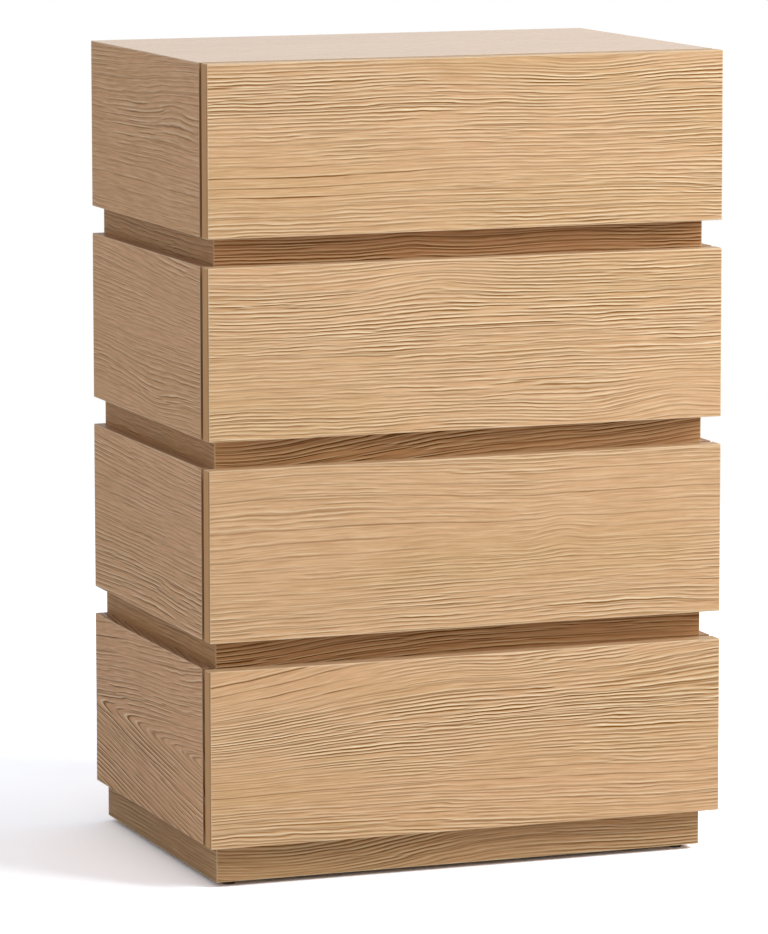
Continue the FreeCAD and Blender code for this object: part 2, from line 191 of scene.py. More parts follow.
class Wiring:
    """Adds nodes to one tree. A value may be a number, a colour or the socket it comes from."""

    def __init__(self, tree):
        self.tree = tree

    def feed(self, socket, value):
        """Give an input its value or its link."""
        if isinstance(value, bpy.types.NodeSocket):
            self.tree.links.new(value, socket)
        else:
            socket.default_value = value

    def fill(self, inputs, **values):
        """Give inputs their values by name, with _ for a space."""
        for name, value in values.items():
            self.feed(inputs[name.replace("_", " ")], value)

    def node(self, kind, values=None, **settings):
        """A node with settings, and with values for its inputs by name or number."""
        made = self.tree.nodes.new(kind)
        made.location.x = NODE_SPACING * len(self.tree.nodes)
        for name, value in settings.items():
            setattr(made, name, value)
        for key, value in (values or {}).items():
            self.feed(made.inputs[key], value)
        return made

    def math(self, operation, *values, clamp=False):
        """The result of a Math node."""
        values = dict(enumerate(values))
        return self.node("ShaderNodeMath", values, operation=operation, use_clamp=clamp).outputs[0]

    def times(self, first, second, clamp=False):
        """The product of two numbers."""
        return self.math("MULTIPLY", first, second, clamp=clamp)

    def times_plus(self, first, second, third):
        """The product of two numbers, plus a third."""
        return self.math("MULTIPLY_ADD", first, second, third)

    def plus(self, first, second, clamp=False):
        """The sum of two numbers."""
        return self.math("ADD", first, second, clamp=clamp)

    def minus(self, first, second):
        """The first number less the second."""
        return self.math("SUBTRACT", first, second)

    def over(self, first, second):
        """The first number divided by the second."""
        return self.math("DIVIDE", first, second)

    def size(self, value):
        """A number without its sign."""
        return self.math("ABSOLUTE", value)

    def vector(self, operation, *values):
        """The vector that a Vector Math node gives."""
        values = dict(enumerate(values))
        return self.node("ShaderNodeVectorMath", values, operation=operation).outputs[0]

    def dot(self, first, second):
        """The dot product of two vectors."""
        made = self.node("ShaderNodeVectorMath", {0: first, 1: second}, operation="DOT_PRODUCT")
        return made.outputs["Value"]

    def parts(self, vector):
        """The three parts of a vector."""
        return tuple(self.node("ShaderNodeSeparateXYZ", {0: vector}).outputs)

    def here(self):
        """The shaded point's place and normal, by kind of coordinates."""
        return self.node("ShaderNodeTexCoord").outputs

    def noise(self, parts, scales, detail=2.0):
        """Cloud noise about 0.5 at a point of three parts, scaled to units of the clouds' size."""
        scaled = [self.times(part, scale) for part, scale in zip(parts, scales)]
        point = self.node("ShaderNodeCombineXYZ", dict(enumerate((*scaled, *parts[len(scales):]))))
        values = {"Vector": point.outputs[0], "Scale": 1.0, "Detail": detail}
        return self.node("ShaderNodeTexNoise", values).outputs["Fac"]

    def ramp(self, value, low, high, start=0.0, end=1.0):
        """A smooth step from start to end as the value goes from low to high."""
        values = {0: value, 1: low, 2: high, 3: start, 4: end}
        return self.node("ShaderNodeMapRange", values, interpolation_type="SMOOTHSTEP").outputs[0]

    def blend(self, share_of_second, first, second):
        """A number between two others."""
        values = {0: share_of_second, 2: first, 3: second}
        return self.node("ShaderNodeMix", values, data_type="FLOAT").outputs[0]

    def tint(self, share_of_second, first, second):
        """A colour between two others."""
        values = {0: share_of_second, 6: first, 7: second}
        return self.node("ShaderNodeMix", values, data_type="RGBA").outputs[2]

    def place(self, group, **values):
        """The outputs of a group, whose inputs are given by name with _ for a space."""
        made = self.node("ShaderNodeGroup", node_tree=group)
        self.fill(made.inputs, **values)
        return made.outputs


def start_group(name, inputs, outputs):
    """A new node group with the sockets given as (name, kind), its wiring, inputs and outputs."""
    group = bpy.data.node_groups.new(name, "ShaderNodeTree")
    for way, sockets in (("INPUT", inputs), ("OUTPUT", outputs)):
        for socket_name, kind in sockets:
            group.interface.new_socket(socket_name, in_out=way, socket_type="NodeSocket" + kind)
    wire = Wiring(group)
    return group, wire, wire.node("NodeGroupInput").outputs, wire.node("NodeGroupOutput").inputs


def rgba(value):
    """A colour with full opacity."""
    return (*value, 1.0)


OAK_COLOURS = ("Plain", "Warm", "Cool", "Ridge", "Line")
# A surface faces a direction where its normal's part along it is over this.
FACING = 0.7
# How far from its face a board's edge lies in the figure, in metres
EDGE_SHIFT = 0.45
# Half width of the widest line, as a share of the distance between lines
WIDEST_LINE = 0.31
# What chance gives each grain line, as how much it may add and the least: the place of its middle
# in its ring, its strength and its share of the width
LINE_PLACE = (0.07, 0.29)
LINE_STRENGTH = (0.4, 0.6)
LINE_THICKNESS = (0.3, 0.85)
# A line is gone where the noise of its breaks is under the first, and whole over the second.
LINE_BREAKS = (0.29, 0.52)
# How far the bright ridge, partly painted highlight of the relief lit from above, lies over its
# line, in half widths of the line
RIDGE_OFFSET = 1.2
# How many clouds of the figure's noises lie in a metre along the grain and across it
SLOW_SWAY = (4.5, 11.0)
QUICK_SWAY = (21.0, 70.0)
SET_TURNS = (8.0, 50.0)
LINE_PATCHES = (5.0, 19.0)
WARM_PATCHES = (6.0, 26.0)
COOL_PATCHES = (3.0, 12.0)
# The same along the grain and away from the core, and for crowded rings away from the core alone
OAK_FIBRES = (26.0, 640.0)
OAK_PORES = (60.0, 1000.0)
CROWDING = (26.0,)


def make_board_group():
    """Places a point on a board: along and across the grain of the face it lies on.

    The face, its two long edges and its two ends each get their own directions, chosen by the
    surface's normal. An edge keeps the grain's direction, and an end has it across the board.
    """
    group, wire, given, result = start_group(
        "Board coordinates",
        [(name, "Vector") for name in ("Point", "Facing", "Centre", "Grain", "Face")],
        [(name, "Float") for name in ("Along", "Across", "Depth", "Edge", "End")],
    )
    across_way = wire.vector("CROSS_PRODUCT", given["Face"], given["Grain"])
    local = wire.vector("SUBTRACT", given["Point"], given["Centre"])
    along, across, depth = (
        wire.dot(local, way) for way in (given["Grain"], across_way, given["Face"])
    )
    end, edge = (
        wire.math("GREATER_THAN", wire.size(wire.dot(given["Facing"], way)), FACING)
        for way in (given["Grain"], across_way)
    )
    off_face = wire.math("MAXIMUM", end, edge)
    wire.fill(
        result,
        Along=wire.blend(end, along, across),
        Across=wire.blend(off_face, across, wire.plus(depth, EDGE_SHIFT)),
        Depth=depth,
        Edge=edge,
        End=end,
    )
    return group


def make_swell_group():
    """An amount that fades from a place: amount times exp(-(a/length)^2 - (b/height)^2)."""
    names = ("Along", "Across", "At along", "At across", "Length", "Height", "Amount")
    group, wire, given, result = start_group(
        "Swell", [(name, "Float") for name in names], [("Swell", "Float")]
    )
    squares = []
    for here, centre, size in (("Along", "At along", "Length"), ("Across", "At across", "Height")):
        off = wire.over(wire.minus(given[here], given[centre]), given[size])
        squares.append(wire.math("POWER", wire.size(off), 2.0))
    fade = wire.math("EXPONENT", wire.times(wire.plus(*squares), -1.0))
    wire.fill(result, Swell=wire.times(fade, given["Amount"]))
    return group


def make_wear_and_highlight_group():
    """How worn and highlit a point of a board is: near one along its arrises and nought elsewhere.
    The pale arrises are partly wear and partly painted highlight.

    For each axis, nearness goes smoothly from one at the box's side to nought at the wear's width
    inside it, and the wear is the largest product of two of the three.
    """
    group, wire, given, result = start_group(
        "Worn arrises",
        [("Point", "Vector"), ("Centre", "Vector"), ("Half size", "Vector"), ("Width", "Float")],
        [("Wear", "Float")],
    )
    offset = wire.vector("ABSOLUTE", wire.vector("SUBTRACT", given["Point"], given["Centre"]))
    inside = wire.parts(wire.vector("SUBTRACT", given["Half size"], offset))
    near = [wire.ramp(part, 0.0, given["Width"], 1.0, 0.0) for part in inside]
    first, second, third = (wire.times(near[i], near[(i + 1) % 3]) for i in range(3))
    wire.fill(result, Wear=wire.math("MAXIMUM", wire.math("MAXIMUM", first, second), third))
    return group


def make_lines_group():
    """Grain lines, one to each whole number of Rings, each with its own place, width and breaks.

    A line is dark at its middle and fades to both sides, with a bright ridge just above it, which
    is partly paler wood and partly painted highlight of the relief lit from above.
    """
    group, wire, given, result = start_group(
        "Grain lines",
        [(name, "Float") for name in ("Along", "Rings", "Seed", "Break length", "Width")],
        [("Dark", "Float"), ("Bright", "Float")],
    )
    ring = wire.math("FLOOR", given["Rings"])
    part = wire.math("FRACT", given["Rings"])
    seed = {"W": wire.plus(ring, given["Seed"])}
    chance = wire.node("ShaderNodeTexWhiteNoise", seed, noise_dimensions="1D").outputs["Color"]
    first, second, third = wire.node("ShaderNodeSeparateColor", {0: chance}).outputs
    middle = wire.times_plus(first, *LINE_PLACE)
    broken_along = wire.over(given["Along"], given["Break length"])
    breaks = wire.noise((broken_along, ring, given["Seed"]), (1.0, 3.71), detail=1.0)
    strength = wire.times(wire.ramp(breaks, *LINE_BREAKS), wire.times_plus(second, *LINE_STRENGTH))
    width = wire.times(given["Width"], wire.times_plus(third, *LINE_THICKNESS))
    dark, bright = (
        wire.ramp(wire.over(wire.size(wire.minus(part, place)), width), 0.0, 1.0, 1.0, 0.0)
        for place in (middle, wire.times_plus(width, RIDGE_OFFSET, middle))
    )
    wire.fill(result, Dark=wire.times(dark, strength), Bright=wire.times(bright, strength))
    return group


def make_figure_group(lines):
    """The whole figure of a veneer: colour, roughness and height.

    The cut's distance from the tree's core is sqrt(a^2 + d^2) + t * s, where a is the distance
    across the grain, d the depth of the core under the face, s the distance along and t the tree's
    taper, so a near core gives nested V's and a far one straight grain. Cloud noise and the given
    lift bend it, and its rings carry the lines. Close lines come from two sets that take turns, so
    that lines fork and end where one set fades into the other. Where they all but vanish, a sparser
    set is darker. What is added to the seed keeps one noise from following another.
    """
    numbers = (
        "Along", "Across", "Seed", "Spacing", "Line width", "Wander", "Strength",
        "Core across", "Core depth", "Taper", "Lift", "Zone",
    )
    group, wire, given, result = start_group(
        "Veneer figure",
        [(name, "Float") for name in numbers] + [(name, "Color") for name in OAK_COLOURS],
        [("Color", "Color"), ("Roughness", "Float"), ("Height", "Float")],
    )
    along, across, seed = given["Along"], given["Across"], given["Seed"]

    slow = wire.noise((along, across, seed), SLOW_SWAY, detail=1.0)
    quick = wire.noise((along, across, seed), QUICK_SWAY)
    sway = wire.times_plus(wire.minus(quick, 0.5), 0.28, slow)
    lifted = wire.minus(across, given["Lift"])
    bent = wire.times_plus(wire.minus(sway, 0.5), given["Wander"], lifted)
    from_core = wire.minus(bent, given["Core across"])
    depth_squared = wire.math("POWER", given["Core depth"], 2.0)
    to_core = wire.math("SQRT", wire.times_plus(from_core, from_core, depth_squared))
    radius = wire.times_plus(along, given["Taper"], to_core)
    crowding = wire.noise((radius, seed, 3.0), CROWDING, detail=1.0)
    rings = wire.times_plus(crowding, 1.1, wire.over(radius, given["Spacing"]))

    width = wire.math("MINIMUM", wire.over(given["Line width"], given["Spacing"]), WIDEST_LINE)
    other_rings = wire.times_plus(rings, 0.93, wire.times(quick, 0.45))
    # Each set has its rings, what is added to the seed, its breaks' length in metres and its width.
    main, crowd, other = (
        wire.place(
            lines,
            Along=along,
            Rings=carrier,
            Seed=wire.plus(seed, offset),
            Break_length=break_length,
            Width=share_of_ring,
        )
        for carrier, offset, break_length, share_of_ring in (
            (wire.times(rings, 1 / 3), 0.0, 0.16, wire.times(width, 0.4)),
            (rings, 31.0, 0.09, width),
            (other_rings, 57.0, 0.09, width),
        )
    )
    turns = wire.noise((along, across, wire.plus(seed, 40.0)), SET_TURNS, detail=1.0)
    turn = wire.ramp(turns, 0.44, 0.56)
    patches = wire.noise((along, across, wire.plus(seed, 9.0)), LINE_PATCHES)
    density = wire.plus(wire.ramp(patches, 0.38, 0.62, 0.3, 0.75), given["Zone"], clamp=True)
    close_dark, close_bright = (
        wire.times(wire.blend(turn, crowd[kind], other[kind]), density)
        for kind in ("Dark", "Bright")
    )
    sparse = wire.ramp(density, 0.0, 0.2, 0.95, 0.45)
    dark = wire.math("MAXIMUM", wire.times(main["Dark"], sparse), close_dark)
    dark = wire.times(dark, given["Strength"])
    bright = wire.times_plus(main["Bright"], wire.times(sparse, 0.4), close_bright)
    bright = wire.times(bright, given["Strength"])

    fibre = wire.noise((along, radius, seed), OAK_FIBRES, detail=3.0)
    pores = wire.ramp(wire.noise((along, radius, seed), OAK_PORES, detail=1.0), 0.60, 0.80)
    warm = wire.noise((along, across, wire.plus(seed, 5.0)), WARM_PATCHES)
    cool = wire.noise((along, across, wire.plus(seed, 14.0)), COOL_PATCHES)
    base = given["Plain"]
    for amount, second in (
        (wire.ramp(warm, 0.42, 0.68), "Warm"),
        (wire.ramp(cool, 0.45, 0.66), "Cool"),
        (wire.ramp(fibre, 0.30, 0.62, 0.22, 0.0), "Line"),
        (wire.ramp(fibre, 0.50, 0.80, 0.0, 0.22), "Ridge"),
        # Partly painted highlight: the bright ridge above each line takes the pale colour as if lit
        # from above.
        (wire.times(bright, 1.15, clamp=True), "Ridge"),
        (wire.times(dark, 1.3, clamp=True), "Line"),
        (wire.times(pores, 0.2), "Line"),
    ):
        base = wire.tint(amount, base, given[second])

    height = wire.minus(wire.times(bright, 0.6), dark)
    height = wire.times_plus(fibre, 0.35, wire.times_plus(pores, -0.2, height))
    rough = wire.times_plus(dark, 0.10, wire.times(fibre, 0.10))
    wire.fill(result, Color=base, Roughness=rough, Height=height)
    return group


# The tree's core: its place across a board and its depth in millimetres, and its taper
FAR_CORE = (-900.0, 0.0, 0.0)
# Tones are multiplied into the oak's colours.
SIDE_TONE = (1.05, 0.985, 1.0)
# Painted shade: the band and plinth tones darken the recessed bands, the inner side panels behind
# them and the plinth, where shade falls under the tiers.
BAND_SHADE_TONE = (0.74, 0.64, 0.53)
PLINTH_SHADE_TONE = (0.74, 0.70, 0.64)

# Spacing is in units of the finish's own, wander is in millimetres and gloss is an index of
# refraction. Roughness is added to the lacquer's. Gap shade is how strongly painted shade of the
# gap behind the drawer fronts lies on a board's front edge, and on an outer board's top and bottom
# edges, and skin how strongly the lines' colour lies on its cut ends by the face.
Board = namedtuple(
    "Board",
    "grain face seed spacing wander strength core lifts zones tone gloss roughness joint skin",
    defaults=(1.0, 16.0, 0.75, FAR_CORE, (), (), (1.0, 1.0, 1.0), 1.12, 0.0, 0.0, 0.0),
)


def front_board(*figure, **more):
    """The slab of a drawer's front."""
    return Board(ALONG_X, FACE_FRONT, *figure, skin=0.5, **more)


def outer_board(*figure, **more):
    """The outer board of a tier's side."""
    return Board(ALONG_Y, FACE_LEFT, *figure, tone=SIDE_TONE, joint=0.6, **more)


# Lifts and zones are (along, across, length, height, amount) in millimetres from the face's middle.
# A lift raises the lines, and a zone makes them stronger or, below nought, fainter.
BOARDS = {
    "drawer_front_1": front_board(
        1.3, 1.06, 9.0, 0.93,
        lifts=(
            (140, 88, 90, 34, -8), (-60, 60, 60, 30, 3), (300, -52, 70, 20, -6),
            (230, 62, 40, 20, 3),
        ),
        zones=(
            (40, 46, 420, 27, 0.65), (0, 96, 420, 14, -0.25), (210, -50, 140, 50, 0.40),
            (-170, -45, 240, 50, -0.30),
        ),
    ),
    "drawer_front_2": front_board(
        5.2, 1.06, 9.5, 0.90,
        lifts=(
            (-42, 74, 60, 26, 7), (140, -78, 62, 22, -7), (245, -72, 60, 24, 7),
            (-250, 60, 90, 40, -4),
        ),
        zones=((60, 36, 420, 26, 0.75), (60, -20, 200, 20, 0.35), (-150, -75, 160, 16, 0.2)),
    ),
    "drawer_front_3": front_board(
        9.7, 1.2, 10.0, 0.80,
        lifts=(
            (-220, 66, 220, 40, 12), (112, 6, 26, 26, 5), (-290, 0, 60, 22, -4),
            (180, -70, 160, 26, 4),
        ),
        zones=((0, -75, 400, 24, 0.25), (0, 20, 500, 60, -0.22)),
        tone=(0.955, 0.955, 0.95),
    ),
    "drawer_front_4": front_board(
        13.1, 1.08, 9.5, 1.12,
        lifts=(
            (-330, 78, 180, 84, -36), (320, 84, 130, 40, 13), (40, 84, 40, 16, -4),
            (-340, -90, 330, 75, 15), (330, -90, 250, 70, -5),
        ),
        zones=(
            (-170, 22, 190, 28, 0.5), (160, 35, 260, 28, 0.7), (0, -65, 420, 30, -0.25),
            (-260, 80, 150, 34, -0.8), (-310, 15, 60, 50, -0.25),
        ),
        tone=(0.975, 0.965, 0.96),
    ),
    "left_outer_board_1": outer_board(
        17.4, 1.4, 8.0, 0.66,
        lifts=((230, 75, 260, 60, 22), (110, 28, 50, 20, 5)),
        zones=((0, 30, 300, 22, 0.30), (0, -60, 250, 30, -0.2)),
    ),
    "left_outer_board_2": outer_board(
        21.8, 1.4, 8.0, 0.64,
        lifts=((220, 70, 260, 50, -20), (40, -68, 70, 24, -9), (-170, -30, 110, 30, 8)),
        zones=((0, -38, 260, 26, 0.35), (150, 66, 120, 20, 0.2)),
    ),
    "left_outer_board_3": outer_board(
        25.5, 1.4, 7.0, 0.86,
        lifts=((200, 80, 280, 50, -12), (0, -70, 150, 30, 7)),
        zones=((0, -46, 300, 28, 0.45), (0, 40, 300, 30, -0.15)),
    ),
    "left_outer_board_4": outer_board(
        29.9, 1.5, 7.0, 1.05, (-2.0, 5.0, -0.13),
        lifts=((180, 60, 200, 60, -16),),
        zones=((-60, -50, 260, 40, 0.4), (0, 70, 300, 40, -0.3)),
    ),
    "right_outer_board_1": outer_board(33.2, 1.4, 8.0, 0.85),
    "right_outer_board_2": outer_board(37.7, 1.5, 8.0, 0.9, (12.0, 6.0, 0.13)),
    "right_outer_board_3": outer_board(41.6, 1.4, 8.0, 0.85),
    "right_outer_board_4": outer_board(45.3, 1.5, 8.0, 0.85),
    "top_panel": Board(
        ALONG_X, FACE_TOP, 49.8, 1.4, 9.0, 0.8, gloss=1.58, roughness=-0.10, joint=0.8,
        tone=(0.98, 0.965, 0.955),
    ),
    # Painted shade: the band rails' darker tones stand for the shade in their recesses.
    "band_rail_1": Board(
        ALONG_X, FACE_FRONT, 53.9, 0.95, 7.0, 1.7,
        lifts=((-60, 0, 40, 30, 3), (120, 4, 60, 30, 3)),
        tone=(0.71, 0.59, 0.48),
    ),
    "band_rail_2": Board(
        ALONG_X, FACE_FRONT, 57.2, 1.2, 7.0, 1.7,
        lifts=((-260, 0, 190, 60, -34), (330, 0, 110, 60, 16)),
        tone=BAND_SHADE_TONE,
    ),
    "band_rail_3": Board(
        ALONG_X, FACE_FRONT, 61.5, 1.4, 7.0, 1.55,
        lifts=((-300, 0, 160, 60, -20),),
        tone=(0.63, 0.53, 0.42),
    ),
    "plinth_front": Board(
        ALONG_X, FACE_FRONT, 65.4, 1.0, 8.0, 1.05,
        lifts=((-210, 0, 160, 60, -24), (60, 10, 160, 40, 5)),
        tone=PLINTH_SHADE_TONE,
    ),
    "plinth_sides": Board(ALONG_Y, FACE_LEFT, 69.6, 1.2, 10.0, 0.8, tone=PLINTH_SHADE_TONE),
    "plinth_back": Board(ALONG_X, FACE_FRONT, 73.3, 1.3, 10.0, 0.8, tone=PLINTH_SHADE_TONE),
    "left_side_panel": Board(ALONG_Y, FACE_LEFT, 77.1, 1.4, 12.0, 0.8, tone=BAND_SHADE_TONE),
    "right_side_panel": Board(ALONG_Y, FACE_LEFT, 81.7, 1.4, 12.0, 0.8, tone=BAND_SHADE_TONE),
    "bottom_panel": Board(ALONG_X, FACE_TOP, 85.2, 1.6, 14.0, 0.7),
    "top_rail": Board(ALONG_X, FACE_FRONT, 89.4, 1.2, 9.0, 0.8),
    "back_panel": Board(ALONG_Z, FACE_FRONT, 93.8, 1.6, 16.0, 0.6, (25.0, 105.0, -0.07)),
}

# How strongly a cut end takes the colour of the lines, and a drawer front's its own colour
END_DARKNESS = 0.15
END_TINT = 0.8
# How far behind its face a cut end's darker skin starts to fade, and where it is gone
SKIN_FADE = (2.2 * MM, 3.6 * MM)
# A surface turns to a direction as its normal's part along it goes from the first to the second.
TURNED = (0.6, 0.8)
# Painted shade of the gaps on level edges, as a share of that on front edges
LEVEL_GAP_SHADE = 0.7
# The wear and painted highlight where they are least, as a share of the most, and their clouds to a
# metre
LEAST_WEAR_AND_HIGHLIGHT = 0.45
WEAR_AND_HIGHLIGHT_CLOUDS = (18.0, 18.0)
# What a cut end and a worn arris add to the roughness
END_ROUGHNESS = 0.5
WORN_ROUGHNESS = -0.08
# Two plies of the plywood, one pale and one dark
PLY_PAIR = 2.7 * MM
# What a letter in the name of a plywood piece adds to the seed of its figure
SEED_STEP = 0.37
PINE_SEED = 4.0
# Bands of the plywood's figure and rings of the softwood: how many to a metre across the grain, and
# how many the sway of the wood moves them
PLY_BANDS, PLY_SHIFT = 22.0, 5.0
PINE_RINGS, PINE_SHIFT = 260.0, 2.5
# Clouds to a metre along and across the grain, and for the zinc along X, Y and Z
PLY_SWAY = (7.0, 34.0)
PLY_FIBRES = (30.0, 700.0)
PLY_GRIME = (70.0, 600.0)
PINE_SWAY = (12.0, 30.0)
PINE_FIBRES = (60.0, 1300.0)
ROLLED_LINES = (2600.0, 22.0, 2600.0)
DULL_PATCHES = (240.0, 90.0, 240.0)
DUST_CLOUDS = 160.0
PLYWOOD_RELIEF = 0.05 * MM
PINE_RELIEF = 0.10 * MM
ZINC_RELIEF = 0.02 * MM
# Dust leaves this share of a moulded material's colour and adds this grey.
DUST_SHARE, DUST_GREY = 0.75, 0.06
# Moulded materials: the setting of their colour, roughness, and the width and depth of the pebbles
MOULDED = {
    "glide_plastic": ("glide", 0.42, 0.7 * MM, 0.05 * MM),
    "lever_plastic": ("lever", 0.36, 0.5 * MM, 0.03 * MM),
    "pad_rubber": ("pad", 0.5, 0.9 * MM, 0.03 * MM),
}


def new_material(name):
    """A material with an empty tree but for its shader and output, and the wiring."""
    material = bpy.data.materials.new(name)
    material.use_nodes = True
    material.node_tree.nodes.clear()
    wire = Wiring(material.node_tree)
    shader = wire.node("ShaderNodeBsdfPrincipled")
    output = wire.node("ShaderNodeOutputMaterial")
    wire.feed(output.inputs["Surface"], shader.outputs["BSDF"])
    return material, wire, shader


def place_board(wire, node_name, board_group, grain, face):
    """Board coordinates on a node, from the middle of its box."""
    low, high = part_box(node_name)
    here = wire.here()
    return wire.place(
        board_group,
        Point=here["Object"],
        Facing=here["Normal"],
        Centre=(low + high) / 2,
        Grain=grain,
        Face=face,
    )


def add_swells(wire, swell_group, board, swells):
    """The sum of the swells on a board, given in millimetres; an amount is scaled by the caller."""
    total = None
    for at_along, at_across, size_along, size_across, amount in swells:
        swell = wire.place(
            swell_group,
            Along=board["Along"],
            Across=board["Across"],
            At_along=at_along * MM,
            At_across=at_across * MM,
            Length=size_along * MM,
            Height=size_across * MM,
            Amount=amount,
        )["Swell"]
        total = swell if total is None else wire.plus(total, swell)
    return 0.0 if total is None else total


def add_bump(wire, shader, height, distance):
    """Relief on a shader."""
    bump = wire.node("ShaderNodeBump", {"Strength": 1.0, "Distance": distance, "Height": height})
    wire.fill(shader.inputs, Normal=bump.outputs["Normal"])


def make_oak(node_name, groups, finish):
    """The veneer of one node."""
    board_data = BOARDS[node_name]
    material, wire, shader = new_material("oak_" + node_name)
    board = place_board(wire, node_name, groups["board"], board_data.grain, board_data.face)
    along, across, end = board["Along"], board["Across"], board["End"]
    core_across, core_depth, taper = board_data.core
    lifts = [(*lift[:4], lift[4] * MM) for lift in board_data.lifts]
    tones = {
        name: rgba(np.multiply(getattr(finish, name.lower()), board_data.tone))
        for name in OAK_COLOURS
    }
    figure = wire.place(
        groups["figure"],
        Along=along,
        Across=across,
        Seed=board_data.seed,
        Spacing=board_data.spacing * finish.spacing,
        Line_width=finish.line_width,
        Wander=board_data.wander * MM,
        Strength=board_data.strength,
        Core_across=core_across * MM,
        Core_depth=core_depth * MM,
        Taper=taper,
        Lift=add_swells(wire, groups["swell"], board, lifts),
        Zone=add_swells(wire, groups["swell"], board, board_data.zones),
        **tones,
    )
    low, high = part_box(node_name)
    here = wire.here()
    shown_colour = wire.tint(wire.times(end, END_DARKNESS), figure["Color"], tones["Line"])
    if board_data.skin:
        shown_colour = wire.tint(wire.times(end, END_TINT), shown_colour, rgba(finish.end))
        from_face = wire.minus((high - low).y / 2, board["Depth"])
        in_skin = wire.times(end, wire.ramp(from_face, *SKIN_FADE, 1.0, 0.0))
        shown_colour = wire.tint(wire.times(in_skin, board_data.skin), shown_colour, tones["Line"])
    # Paler arrises: partly wear and partly painted highlight where the edges catch the light.
    wear = wire.place(
        groups["wear"],
        Point=here["Object"],
        Centre=(low + high) / 2,
        Half_size=(high - low) / 2,
        Width=finish.wear_and_highlight_width,
    )["Wear"]
    uneven = wire.noise((along, across, board_data.seed), WEAR_AND_HIGHLIGHT_CLOUDS)
    wear = wire.times(wear, wire.ramp(uneven, 0.3, 0.7, LEAST_WEAR_AND_HIGHLIGHT * finish.wear, finish.wear))
    shown_colour = wire.tint(wear, shown_colour, tones["Ridge"])
    # Painted shade of the gaps behind the drawer fronts: dark brown on faces that look to the
    # front, and on an outer board's top and bottom faces, where shade falls.
    if board_data.joint:
        shaded_faces = wire.ramp(wire.dot(here["Normal"], FACE_FRONT), *TURNED)
        if node_name != "top_panel":
            level = wire.size(wire.dot(here["Normal"], FACE_TOP))
            shaded_faces = wire.math("MAXIMUM", shaded_faces, wire.ramp(level, *TURNED, 0.0, LEVEL_GAP_SHADE))
        painted_gap_shade = wire.times(shaded_faces, board_data.joint)
        shown_colour = wire.tint(painted_gap_shade, shown_colour, rgba(finish.joint))
    rough = wire.plus(figure["Roughness"], finish.gloss_roughness + board_data.roughness)
    rough = wire.times_plus(wear, WORN_ROUGHNESS, wire.times_plus(end, END_ROUGHNESS, rough))
    wire.fill(shader.inputs, Base_Color=shown_colour, Roughness=rough, IOR=board_data.gloss)
    add_bump(wire, shader, figure["Height"], finish.relief)
    return material


def make_plywood(node_name, groups, finish, grain, face):
    """Birch plywood, with its plies showing on the edges."""
    material, wire, shader = new_material("birch_" + node_name)
    board = place_board(wire, node_name, groups["board"], grain, face)
    birch, birch_line = rgba(finish.birch), rgba(finish.birch_line)
    across = board["Across"]
    point = (board["Along"], across, sum(map(ord, node_name)) * SEED_STEP)
    sway = wire.noise(point, PLY_SWAY, detail=3.0)
    fibre = wire.noise(point, PLY_FIBRES)
    bands = wire.math("FRACT", wire.times_plus(sway, PLY_SHIFT, wire.times(across, PLY_BANDS)))
    face_colour = wire.tint(wire.ramp(bands, 0.05, 0.95, 0.0, 0.55), birch, birch_line)
    face_colour = wire.tint(wire.ramp(fibre, 0.45, 0.75, 0.0, 0.4), face_colour, birch_line)
    ply = wire.math("FRACT", wire.over(board["Depth"], PLY_PAIR))
    cross_ply = wire.times(wire.ramp(ply, 0.46, 0.52), wire.ramp(ply, 0.95, 1.0, 1.0, 0.0))
    grime = wire.noise(point, PLY_GRIME)
    dark_ply = wire.times(cross_ply, wire.ramp(grime, 0.2, 0.6, 0.8, 1.0))
    edge_colour = wire.tint(dark_ply, birch, rgba(finish.glue_ply))
    on_edge = wire.math("MAXIMUM", board["Edge"], board["End"])
    wire.fill(
        shader.inputs,
        Base_Color=wire.tint(on_edge, face_colour, edge_colour),
        Roughness=wire.ramp(fibre, 0.2, 0.8, 0.42, 0.58),
    )
    add_bump(wire, shader, fibre, PLYWOOD_RELIEF)
    return material


def make_pine(node_name, groups, finish):
    """Softwood with wide soft rings."""
    material, wire, shader = new_material("pine_" + node_name)
    board = place_board(wire, node_name, groups["board"], ALONG_Z, FACE_FRONT)
    across = board["Across"]
    point = (board["Along"], across, PINE_SEED)
    sway = wire.noise(point, PINE_SWAY)
    ring = wire.math("FRACT", wire.times_plus(sway, PINE_SHIFT, wire.times(across, PINE_RINGS)))
    fibre = wire.noise(point, PINE_FIBRES)
    late = wire.times(wire.ramp(ring, 0.1, 0.9), wire.ramp(fibre, 0.2, 0.7, 0.6, 1.0))
    wire.fill(
        shader.inputs,
        Base_Color=wire.tint(late, rgba(finish.pine), rgba(finish.pine_line)),
        Roughness=wire.ramp(fibre, 0.2, 0.8, 0.6, 0.75),
    )
    add_bump(wire, shader, fibre, PINE_RELIEF)
    return material


def make_zinc(finish):
    """Bright zinc plate on rolled steel: lines along the rolling and soft duller patches."""
    material, wire, shader = new_material("zinc_plate")
    point = wire.parts(wire.here()["Object"])
    rolled = wire.noise(point, ROLLED_LINES)
    cloud = wire.noise(point, DULL_PATCHES, detail=3.0)
    dull = wire.ramp(wire.times_plus(rolled, 0.5, wire.times(cloud, 0.6)), 0.42, 0.72)
    wire.fill(
        shader.inputs,
        Base_Color=wire.tint(dull, rgba(finish.zinc), rgba(finish.zinc_dull)),
        Metallic=1.0,
        Roughness=wire.ramp(cloud, 0.3, 0.7, 0.26, 0.42),
    )
    add_bump(wire, shader, rolled, ZINC_RELIEF)
    return material


